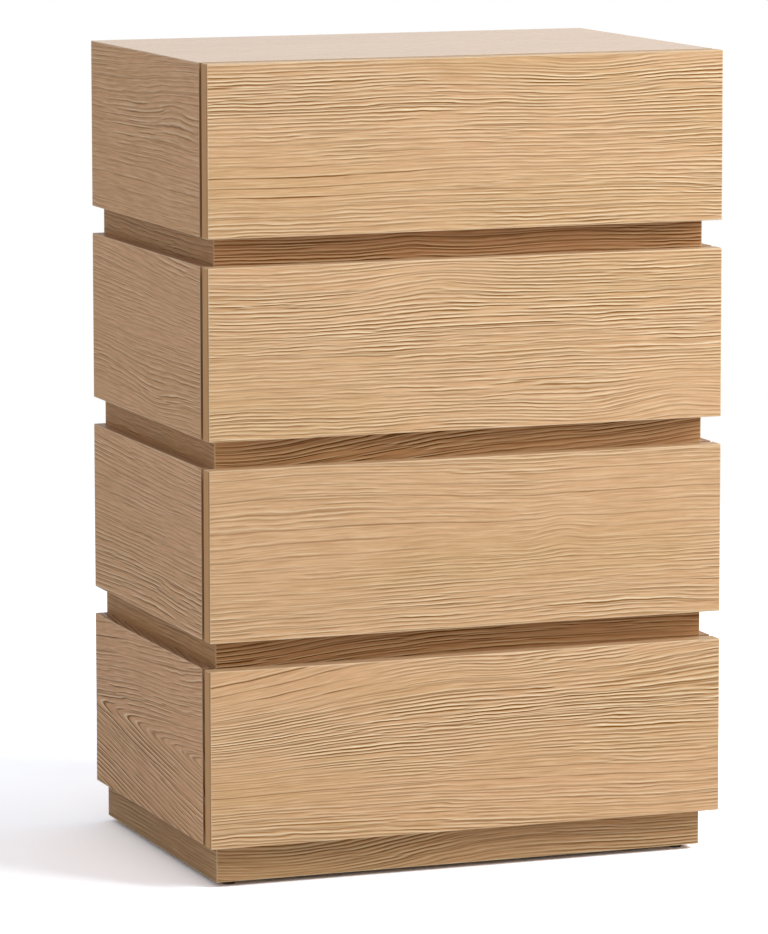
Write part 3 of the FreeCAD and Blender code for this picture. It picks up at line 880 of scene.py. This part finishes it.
def make_moulded(name, tone, roughness, grain_size, grain_depth):
    """A moulded plastic or rubber with a fine pebbled skin and a little dust."""
    material, wire, shader = new_material(name)
    point = wire.parts(wire.here()["Object"])
    pebble = wire.noise(point, 3 * (1 / grain_size,))
    cloud = wire.noise(point, 3 * (DUST_CLOUDS,), detail=3.0)
    dusty = [value * DUST_SHARE + DUST_GREY for value in tone]
    wire.fill(
        shader.inputs,
        Base_Color=wire.tint(wire.ramp(cloud, 0.45, 0.75), rgba(tone), rgba(dusty)),
        Roughness=wire.ramp(pebble, 0.3, 0.7, roughness - 0.06, roughness + 0.08),
    )
    add_bump(wire, shader, pebble, grain_depth)
    return material


def shared_groups():
    """The node groups that the wood finishes share, made the first time they are asked for."""
    made = bpy.data.node_groups
    if "Veneer figure" not in made:
        make_board_group()
        make_swell_group()
        make_wear_and_highlight_group()
        make_figure_group(make_lines_group())
    return {
        "board": made["Board coordinates"],
        "swell": made["Swell"],
        "wear": made["Worn arrises"],
        "figure": made["Veneer figure"],
    }


def finish_node(node_name, material):
    """Give a CAD node its finish."""
    for material_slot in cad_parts[node_name].material_slots:
        material_slot.material = material


Shape = namedtuple("Shape", "points faces")

# Half sections of the runners, from the middle of the web outwards, in millimetres: how far each
# corner of the steel's middle line stands from the side panel, and from the runner's middle height.
CABINET_SECTION = ((0.6, 0.0), (0.6, 21.9), (9.2, 21.9), (10.9, 21.2), (10.9, 19.4))
MIDDLE_SECTION = (
    (4.7, 0.0), (4.7, 5.4), (3.9, 6.4), (3.9, 17.3), (9.4, 17.3), (10.5, 17.9), (10.6, 18.6)
)
DRAWER_SECTION = ((12.1, 0.0), (12.1, 12.7), (6.9, 12.7), (5.9, 13.2), (5.8, 14.0))
OUTER_CAGE_SECTION = ((2.2, 15.0), (2.2, 19.6), (10.0, 19.6))
INNER_CAGE_SECTION = ((5.2, 10.6), (5.2, 15.0), (10.2, 15.0))
OUTER_BALLS = (7.6, 19.6)
INNER_BALLS = (8.0, 15.0)
CAGE_END_GAP = 12 * MM

# Screws of a drawer's runner members and front: their heads and shanks, the cross, their places
PAN_HEAD = 3.5 * MM
PAN_HEIGHT = 1.5 * MM
PAN_RIM = 0.25 * MM
PAN_SHANK = 1.6 * MM
SCREW_POINT = 1.5 * MM
CROSS_WIDTH = 0.5 * MM
CROSS_REACH = 1.9 * MM
CROSS_DEPTH = 0.8 * MM
CROSS_SLOPE = 0.25 * MM
RUNNER_SCREW_LENGTH = 9.0 * MM
FRONT_SCREW_LENGTH = 26.0 * MM
SCREW_SETBACK = 32.0 * MM
FRONT_SCREW_INSET = 45.0 * MM
FRONT_SCREW_EDGE = 28.0 * MM
DRAWER_WEB_FACE = 11.5 * MM

# Release levers: half widths at foot and tip, rise, thickness, and how far from the side panel and
# how far under the runner's middle they lie
LEVER_FOOT = 4.6 * MM
LEVER_TIP = 2.2 * MM
LEVER_RISE = 5.0 * MM
LEVER_THICK = 2.4 * MM
LEVER_IN = 9.6 * MM
LEVER_DROP = 2.0 * MM

# Bumper pads: a pad's height falls from its middle by its crown times (r / R)^DOME_POWER.
BUMPER_RADIUS = 4.0 * MM
BUMPER_RISE = 6.0 * MM
DOME_POWER = 2.2

# Faces that meet at more than this keep a sharp edge between them.
SHARP_TURN = math.radians(35)


def joined(shapes):
    """Several shapes as one."""
    points, faces, first = [], [], 0
    for shape in shapes:
        points.append(shape.points)
        faces += [corners + first for corners in shape.faces]
        first += len(shape.points)
    return Shape(np.concatenate(points), faces)


def repeated(shape, places):
    """A copy of a shape at each place: every point is the shape's point plus the place."""
    places = np.asarray(places, float)
    points = (places[:, None, :] + shape.points[None]).reshape(-1, 3)
    first = np.arange(len(places))[:, None, None] * len(shape.points)
    faces = [(corners[None] + first).reshape(-1, corners.shape[1]) for corners in shape.faces]
    return Shape(points, faces)


def both_sides(shape):
    """A shape and its mirror image on the other side of the chest: x becomes -x."""
    return joined([shape, Shape(shape.points * (-1, 1, 1), shape.faces)])


def rounded_line(corners, reach, steps=5):
    """A line through corners with each inner one rounded.

    With b a corner and a and c the points a reach before and after it, or just under half a run
    where that is less, the bend is (1 - t)^2 a + 2 t (1 - t) b + t^2 c as t goes from 0 to 1.
    """
    corners = np.asarray(corners, float)
    runs = np.diff(corners, axis=0)
    lengths = np.linalg.norm(runs, axis=1)
    ways = runs / lengths[:, None]
    cut = np.minimum(reach, np.minimum(lengths[:-1], lengths[1:]) * 0.49)[:, None]
    middle = corners[1:-1]
    before, after = middle - ways[:-1] * cut, middle + ways[1:] * cut
    t = np.linspace(0, 1, steps)[None, :, None]
    bends = (1 - t) ** 2 * before[:, None] + 2 * t * (1 - t) * middle[:, None]
    bends += t**2 * after[:, None]
    return np.concatenate((corners[:1], bends.reshape(-1, 2), corners[-1:]))


def strip_outline(line, steel):
    """The closed outline of a strip: the line half the steel to one side, and back on the other."""
    ways = np.gradient(line, axis=0)
    ways /= np.linalg.norm(ways, axis=1)[:, None]
    aside = np.stack((-ways[:, 1], ways[:, 0]), axis=1) * steel / 2
    return np.concatenate((line + aside, (line - aside)[::-1]))


def carried(outline, start, end):
    """An outline of (x, z) carried along Y from start to end, with a flat face over each end."""
    count = len(outline)
    ends = [
        np.stack((outline[:, 0], np.full(count, y), outline[:, 1]), axis=1) for y in (start, end)
    ]
    here = np.arange(count)
    beside = np.roll(here, -1)
    sides = np.stack((here, beside, beside + count, here + count), axis=1)
    return Shape(np.concatenate(ends), [sides, here[None], here[None, ::-1] + count])


def closed_tube(rings, start, end):
    """Rings of points joined into a tube, with a fan of triangles to a point at each end."""
    ring_count, step_count, _ = rings.shape
    here = np.arange(ring_count * step_count).reshape(ring_count, step_count)
    beside = np.roll(here, -1, axis=1)
    sides = np.stack((here[:-1], beside[:-1], beside[1:], here[1:]), axis=-1).reshape(-1, 4)
    first, last = np.full(step_count, here.size), np.full(step_count, here.size + 1)
    fans = np.concatenate(
        (np.stack((first, beside[0], here[0]), 1), np.stack((last, here[-1], beside[-1]), 1))
    )
    return Shape(np.concatenate((rings.reshape(-1, 3), [start, end])), [sides, fans])


def turned(radii, heights, axis, steps):
    """A profile turned about an axis through the origin.

    A point of it goes to (r cos a, r sin a) across the axis and h along it, and the profile starts
    and ends on the axis.
    """
    angles = np.arange(steps) * 2 * np.pi / steps
    first, second = (axis + 1) % 3, (axis + 2) % 3
    rings = np.zeros((len(radii) - 2, steps, 3))
    rings[..., first] = np.outer(radii[1:-1], np.cos(angles))
    rings[..., second] = np.outer(radii[1:-1], np.sin(angles))
    rings[..., axis] = np.asarray(heights[1:-1])[:, None]
    tips = np.zeros((2, 3))
    tips[:, axis] = heights[0], heights[-1]
    return closed_tube(rings, *tips)


def ball(radius):
    """A sphere: r sin a across and r cos a along X, as a goes from pole to pole."""
    turn = np.linspace(0, np.pi, 8)
    return turned(radius * np.sin(turn), radius * np.cos(turn), axis=0, steps=10)


def pan_screw(shank, axis):
    """A pan-head screw that goes into the wood from the origin, along an axis.

    The head's height is H (1 - 0.7 (r / R)^4) down to its rim, less the cross: a depth times how
    far inside the nearer of its two arms the point lies, cut off at one.
    """
    part = np.linspace(0, 1, 13)
    radii = [*(PAN_HEAD * part), PAN_HEAD, PAN_SHANK, PAN_SHANK, 0]
    dome = PAN_HEIGHT * (1 - 0.7 * part[:-1] ** 4)
    heights = [*dome, PAN_RIM, 0, 0, -shank, -shank - SCREW_POINT]
    shape = turned(np.array(radii), np.array(heights), axis, steps=32)
    points = shape.points
    across, up = np.abs(points[:, (axis + 1) % 3]), np.abs(points[:, (axis + 2) % 3])
    inside = [
        np.clip((CROSS_WIDTH - narrow) / CROSS_SLOPE, 0, 1)
        * np.clip((CROSS_REACH - long) / CROSS_SLOPE, 0, 1)
        for narrow, long in ((across, up), (up, across))
    ]
    on_head = points[:, axis] > PAN_RIM
    points[:, axis] -= np.where(on_head, np.maximum(*inside) * CROSS_DEPTH, 0)
    return shape


def drawer_screws(tier, panel_x, middle_z, span):
    """The screws of a drawer's two runner members and of its front, on both sides."""
    member_screws = repeated(
        pan_screw(RUNNER_SCREW_LENGTH, axis=0),
        [
            (panel_x - DRAWER_WEB_FACE, y, middle_z)
            for y in (span[0] + SCREW_SETBACK, span[1] - SCREW_SETBACK)
        ],
    )
    low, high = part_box(f"drawer_inner_front_{tier}")
    front_screws = repeated(
        pan_screw(FRONT_SCREW_LENGTH, axis=1),
        [
            (high.x - FRONT_SCREW_INSET, high.y, z)
            for z in (low.z + FRONT_SCREW_EDGE, high.z - FRONT_SCREW_EDGE)
        ],
    )
    return both_sides(joined([member_screws, front_screws]))


def release_lever(long):
    """A flat lever along Y, wide at its foot and narrow at its curved tip.

    At s along it from 0 to 1, its half width goes straight from the foot's to the tip's, its middle
    rises by R s^2 and its section is a rounded rectangle with |cos a|^0.5 across and |sin a|^0.5
    through. Both are times sqrt(1 - |2 s - 1|^12), which draws in the ends.
    """
    s = np.linspace(0.002, 0.998, 40)[:, None]
    a = (np.arange(24) * 2 * np.pi / 24)[None]
    end = np.sqrt(1 - np.abs(2 * s - 1) ** 12)
    wide = (LEVER_FOOT + (LEVER_TIP - LEVER_FOOT) * s) * end
    rings = np.stack(
        (
            LEVER_THICK / 2 * end * np.sign(np.sin(a)) * np.abs(np.sin(a)) ** 0.5,
            (s - 0.5) * long + 0 * a,
            LEVER_RISE * s**2 + wide * np.sign(np.cos(a)) * np.abs(np.cos(a)) ** 0.5,
        ),
        axis=-1,
    )
    return closed_tube(rings, (0, -0.5 * long, 0), (0, 0.5 * long, LEVER_RISE))


def member(section, steel, bend, span, panel_x, middle_z):
    """The right member of a pair: its rounded half section, mirrored in Z and carried along Y."""
    half = np.asarray(section, float) * MM
    corners = np.concatenate((half[:0:-1] * (1, -1), half[1:]))
    outline = strip_outline(rounded_line(corners, bend), steel)
    return carried(np.array((panel_x, middle_z)) + outline * (-1, 1), *span)


def cage_strips(section, steel, bend, span, panel_x, middle_z):
    """The right pair of strips that hold a runner's balls, one over and one under its middle."""
    line = rounded_line(np.asarray(section, float) * MM, bend)
    strips = [strip_outline(line * (1, way), steel) for way in (1, -1)]
    return joined(
        [carried(np.array((panel_x, middle_z)) + strip * (-1, 1), *span) for strip in strips]
    )


def add_object(name, data):
    """A new object in the scene."""
    made = bpy.data.objects.new(name, data)
    bpy.context.scene.collection.objects.link(made)
    return made


def add_piece(name, shape, material, body):
    """A new piece, with its faces turned outwards and its sharpest edges kept sharp."""
    mesh = bpy.data.meshes.new(name)
    faces = [corners for group in shape.faces for corners in group.tolist()]
    mesh.from_pydata(shape.points.tolist(), [], faces)
    made = bmesh.new()
    made.from_mesh(mesh)
    bmesh.ops.recalc_face_normals(made, faces=made.faces)
    made.to_mesh(mesh)
    made.free()
    mesh.shade_smooth()
    mesh.set_sharp_from_angle(angle=SHARP_TURN)
    mesh.materials.append(material)
    piece = add_object(name, mesh)
    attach(piece, body)
    return piece


def fitting_material(name, finish):
    """A fitting's material, made the first time it is asked for."""
    if name in bpy.data.materials:
        return bpy.data.materials[name]
    if name == "zinc_plate":
        return make_zinc(finish)
    tone, *skin = MOULDED[name]
    return make_moulded(name, tuple(getattr(finish, tone)), *skin)


class CHEST_OT_finish_oak(bpy.types.Operator):
    """Veneer every oak board, each with its own figure"""

    bl_idname = "chest.finish_oak"
    bl_label = "Finish the oak boards"

    def execute(self, context):
        finish = context.scene.chest_oak
        groups = shared_groups()
        for node_name in BOARDS:
            finish_node(node_name, make_oak(node_name, groups, finish))
        return {"FINISHED"}


class CHEST_OT_finish_boxes(bpy.types.Operator):
    """Give the drawer boxes their plywood and the corner blocks their softwood"""

    bl_idname = "chest.finish_boxes"
    bl_label = "Finish the drawer boxes"

    def execute(self, context):
        finish = context.scene.chest_boxes
        groups = shared_groups()
        for tier in TIERS:
            for piece, grain, face in (
                ("drawer_left_side", ALONG_Y, FACE_LEFT),
                ("drawer_right_side", ALONG_Y, FACE_LEFT),
                ("drawer_back", ALONG_X, FACE_FRONT),
                ("drawer_inner_front", ALONG_X, FACE_FRONT),
                ("drawer_bottom", ALONG_X, FACE_TOP),
            ):
                node_name = f"{piece}_{tier}"
                finish_node(node_name, make_plywood(node_name, groups, finish, grain, face))
        finish_node("corner_blocks", make_pine("corner_blocks", groups, finish))
        return {"FINISHED"}


class CHEST_OT_finish_fittings(bpy.types.Operator):
    """Give the runners, screws, glides and pads their finishes"""

    bl_idname = "chest.finish_fittings"
    bl_label = "Finish the fittings"

    def execute(self, context):
        finish = context.scene.chest_fittings
        zinc = fitting_material("zinc_plate", finish)
        finish_node("carcass_screws", zinc)
        for tier in TIERS:
            for piece in ("cabinet_runners", "middle_runners", "drawer_runners"):
                finish_node(f"{piece}_{tier}", zinc)
        finish_node("glides", fitting_material("glide_plastic", finish))
        finish_node("bumpers", fitting_material("pad_rubber", finish))
        return {"FINISHED"}


class CHEST_OT_make_runners(bpy.types.Operator):
    """Make the rolled runner members, their balls and cages, their screws and their levers"""

    bl_idname = "chest.make_runners"
    bl_label = "Make the runners"

    def execute(self, context):
        sizes = context.scene.chest_runners
        finish = context.scene.chest_fittings
        zinc = fitting_material("zinc_plate", finish)
        for tier in TIERS:
            low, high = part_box(f"cabinet_runners_{tier}")
            panel_x, middle_z = high.x, (low.z + high.z) / 2
            span = (low.y, high.y)
            for piece, node, body, section in (
                ("cabinet_channels", "cabinet_runners", "carcass", CABINET_SECTION),
                ("middle_channels", "middle_runners", f"middle_members_{tier}", MIDDLE_SECTION),
                ("drawer_channels", "drawer_runners", f"drawer_{tier}", DRAWER_SECTION),
            ):
                shape = member(section, sizes.steel, sizes.bend, span, panel_x, middle_z)
                shape = both_sides(shape)
                if node == "drawer_runners":
                    shape = joined([shape, drawer_screws(tier, panel_x, middle_z, span)])
                made = add_piece(f"{piece}_{tier}", shape, zinc, body)
                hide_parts(f"{node}_{tier}")
            cages, balls = [], []
            for section, (ball_in, ball_off), start in (
                (OUTER_CAGE_SECTION, OUTER_BALLS, high.y - CAGE_END_GAP - sizes.cage),
                (INNER_CAGE_SECTION, INNER_BALLS, low.y + CAGE_END_GAP),
            ):
                cage_span = (start, start + sizes.cage)
                cages.append(
                    cage_strips(section, sizes.cage_steel, sizes.bend, cage_span, panel_x, middle_z)
                )
                count = int(sizes.cage / sizes.ball_pitch)
                ys = start + (np.arange(count) + 0.5) * sizes.cage / count
                rows = [
                    (panel_x - ball_in * MM, y, middle_z + way * ball_off * MM)
                    for way in (-1, 1)
                    for y in ys
                ]
                balls.append(repeated(ball(sizes.ball), rows))
            body = f"middle_members_{tier}"
            for piece, parts in (("ball_cages", cages), ("runner_balls", balls)):
                add_piece(f"{piece}_{tier}", both_sides(joined(parts)), zinc, body)
            lever_place = (panel_x - LEVER_IN, (span[0] + span[1]) / 2, middle_z - LEVER_DROP)
            add_piece(
                f"release_levers_{tier}",
                both_sides(repeated(release_lever(sizes.lever), [lever_place])),
                fitting_material("lever_plastic", finish),
                f"drawer_{tier}",
            )
        return {"FINISHED"}


class CHEST_OT_make_bumpers(bpy.types.Operator):
    """Make the domed bumper pads on the front edges of the carcass"""

    bl_idname = "chest.make_bumpers"
    bl_label = "Make the bumper pads"

    def execute(self, context):
        crown = context.scene.chest_runners.pad_crown
        low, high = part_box("bumpers")
        part = np.linspace(0, 1, 9)
        radii = np.concatenate((BUMPER_RADIUS * part, [BUMPER_RADIUS, 0]))
        heights = np.concatenate((high.y - low.y - crown * part**DOME_POWER, [0, 0]))
        pad = turned(radii, -heights, axis=1, steps=28)
        places = []
        for tier in TIERS:
            front_low, front_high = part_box(f"drawer_front_{tier}")
            seat_top = min(front_high.z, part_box("top_rail")[1].z)
            for z in (front_low.z + BUMPER_RISE, seat_top - BUMPER_RISE):
                places += [(x, high.y, z) for x in (low.x + BUMPER_RADIUS, high.x - BUMPER_RADIUS)]
        made = add_piece(
            "bumper_pads",
            repeated(pad, places),
            fitting_material("pad_rubber", context.scene.chest_fittings),
            "carcass",
        )
        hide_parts("bumpers")
        return {"FINISHED"}


FLOOR_REACH = 40.0
# What the camera sees of the floor under full light, and how far from the chest it turns to white
FLOOR_SEEN = (1.99, 2.05, 2.18)
FLOOR_FADE = (1.3, 3.2)
SKY_COLOUR = (0.97, 0.985, 1.0)
STUDIO_MIDDLE = (0.0, 0.0, 0.45)
KEY_PLACE = (2.38, -2.25, 2.64)
SUN_TOWARDS = (0.85, -0.14, 0.50)
SENSOR_WIDTH = 36
CAMERA_REACH = 200
CAMERA_PLACE = (-2.1815, -5.7748, 1.3147)
CAMERA_YAW = math.radians(20.4962)
CAMERA_PITCH = math.radians(7.2053)
CAMERA_ROLL = math.radians(-0.0825)
CAMERA_SHIFT = -97 / PHOTO_HEIGHT


def camera_matrix():
    """The camera's place and turn: yaw to the right of +Y, pitch down, then roll about its axis."""
    forward = Vector(
        (
            math.sin(CAMERA_YAW) * math.cos(CAMERA_PITCH),
            math.cos(CAMERA_YAW) * math.cos(CAMERA_PITCH),
            -math.sin(CAMERA_PITCH),
        )
    )
    level_right = Vector((math.cos(CAMERA_YAW), -math.sin(CAMERA_YAW), 0))
    level_up = level_right.cross(forward)
    right = level_right * math.cos(CAMERA_ROLL) + level_up * math.sin(CAMERA_ROLL)
    up = level_up * math.cos(CAMERA_ROLL) - level_right * math.sin(CAMERA_ROLL)
    turn = Matrix((right, up, -forward)).transposed().to_4x4()
    return Matrix.Translation(CAMERA_PLACE) @ turn


def add_light(name, kind, towards, strength, **settings):
    """A light that shines from a direction and isn't mirrored in gloss, as the white sky is."""
    light = bpy.data.lights.new(name, kind)
    light.energy = strength
    for setting, value in settings.items():
        setattr(light, setting, value)
    holder = add_object(name, light)
    holder.rotation_euler = Vector(towards).to_track_quat("Z", "Y").to_euler()
    holder.visible_glossy = False
    return holder


def make_floor_material(tone):
    """A pale floor that the camera sees as white where the light is full, and grey in shadow."""
    material, wire, shader = new_material("studio_floor")
    wire.fill(shader.inputs, Base_Color=rgba(tone), Roughness=0.9, Specular_IOR_Level=0.1)
    lit = wire.node("ShaderNodeBsdfDiffuse", {"Color": rgba(FLOOR_SEEN)})
    white = wire.node("ShaderNodeEmission", {"Color": rgba(WHITE), "Strength": 1.0})
    here = wire.here()["Object"]
    far = wire.ramp(wire.math("SQRT", wire.dot(here, here)), *FLOOR_FADE)
    seen = wire.node("ShaderNodeMixShader", {0: far, 1: lit.outputs[0], 2: white.outputs[0]})
    camera_ray = wire.node("ShaderNodeLightPath").outputs["Is Camera Ray"]
    mixed = {0: camera_ray, 1: shader.outputs["BSDF"], 2: seen.outputs[0]}
    output = next(node for node in material.node_tree.nodes if node.type == "OUTPUT_MATERIAL")
    wire.fill(output.inputs, Surface=wire.node("ShaderNodeMixShader", mixed).outputs["Shader"])
    return material


def set_world(strength):
    """Even light all round, seen as plain white by the camera and in reflections."""
    world = bpy.data.worlds.new("studio")
    bpy.context.scene.world = world
    world.use_nodes = True
    world.node_tree.nodes.clear()
    wire = Wiring(world.node_tree)
    rays = wire.node("ShaderNodeLightPath").outputs
    seen = wire.math("MAXIMUM", rays["Is Camera Ray"], rays["Is Glossy Ray"])
    seen = wire.math("MAXIMUM", seen, rays["Is Transmission Ray"])
    even, white = (
        wire.node("ShaderNodeBackground", {"Color": rgba(tone), "Strength": power}).outputs[0]
        for tone, power in ((SKY_COLOUR, strength), (WHITE, 1.0))
    )
    mixed = wire.node("ShaderNodeMixShader", {0: seen, 1: even, 2: white})
    wire.node("ShaderNodeOutputWorld", {"Surface": mixed.outputs[0]})


class CHEST_OT_set_studio(bpy.types.Operator):
    """Set the floor, the lamps, the white surround and the camera"""

    bl_idname = "chest.set_studio"
    bl_label = "Set the studio"

    def execute(self, context):
        scene = context.scene
        studio = scene.chest_studio
        mesh = bpy.data.meshes.new("studio_floor")
        corners = [(-1, -1, 0), (1, -1, 0), (1, 1, 0), (-1, 1, 0)]
        mesh.from_pydata((FLOOR_REACH * np.array(corners)).tolist(), [], [(0, 1, 2, 3)])
        mesh.materials.append(make_floor_material(tuple(studio.floor)))
        add_object("studio_floor", mesh)

        set_world(studio.sky)
        from_middle = Vector(KEY_PLACE) - Vector(STUDIO_MIDDLE)
        key = add_light("key_lamp", "AREA", from_middle, studio.key_power, size=studio.key_size)
        key.location = KEY_PLACE
        add_light("soft_sun", "SUN", SUN_TOWARDS, studio.sun, angle=studio.sun_softness)

        camera = bpy.data.cameras.new("photo_camera")
        camera.lens = studio.lens
        camera.sensor_width = SENSOR_WIDTH
        camera.shift_y = CAMERA_SHIFT
        camera.clip_end = CAMERA_REACH
        scene.camera = add_object("photo_camera", camera)
        scene.camera.matrix_world = camera_matrix()
        scene.view_settings.view_transform = "Standard"
        return {"FINISHED"}


class CHEST_PT_panel(bpy.types.Panel):
    """Settings and steps of the chest"""

    bl_idname = "CHEST_PT_panel"
    bl_label = "Chest of drawers"
    bl_space_type = "VIEW_3D"
    bl_region_type = "UI"
    bl_category = "Chest"

    def draw(self, context):
        for step, _ in STEPS:
            self.layout.operator(step)
        for name in SETTINGS:
            settings = getattr(context.scene, name)
            box = self.layout.box()
            for entry in settings.bl_rna.properties:
                if entry.identifier not in ("name", "rna_type"):
                    box.prop(settings, entry.identifier)


SETTINGS = {
    "chest_oak": OakFinish,
    "chest_boxes": BoxFinish,
    "chest_fittings": FittingFinish,
    "chest_runners": RunnerSizes,
    "chest_studio": StudioSettings,
}

STEPS = (
    ("chest.set_studio", CHEST_OT_set_studio),
    ("chest.finish_oak", CHEST_OT_finish_oak),
    ("chest.finish_boxes", CHEST_OT_finish_boxes),
    ("chest.finish_fittings", CHEST_OT_finish_fittings),
    ("chest.make_runners", CHEST_OT_make_runners),
    ("chest.make_bumpers", CHEST_OT_make_bumpers),
)


def all_classes():
    """Every class that Blender has to know."""
    return [*SETTINGS.values(), *(operator for _, operator in STEPS), CHEST_PT_panel]


def register():
    """Make the settings, steps and panel known to Blender."""
    for entry in all_classes():
        bpy.utils.register_class(entry)
    for name, group in SETTINGS.items():
        setattr(bpy.types.Scene, name, PointerProperty(type=group))


def unregister():
    """Take them away again."""
    for name in SETTINGS:
        delattr(bpy.types.Scene, name)
    for entry in reversed(all_classes()):
        bpy.utils.unregister_class(entry)


def main():
    """Run every step."""
    register()
    for step, _ in STEPS:
        family, name = step.split(".")
        getattr(getattr(bpy.ops, family), name)()
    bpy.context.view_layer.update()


if __name__ == "__main__":
    main()
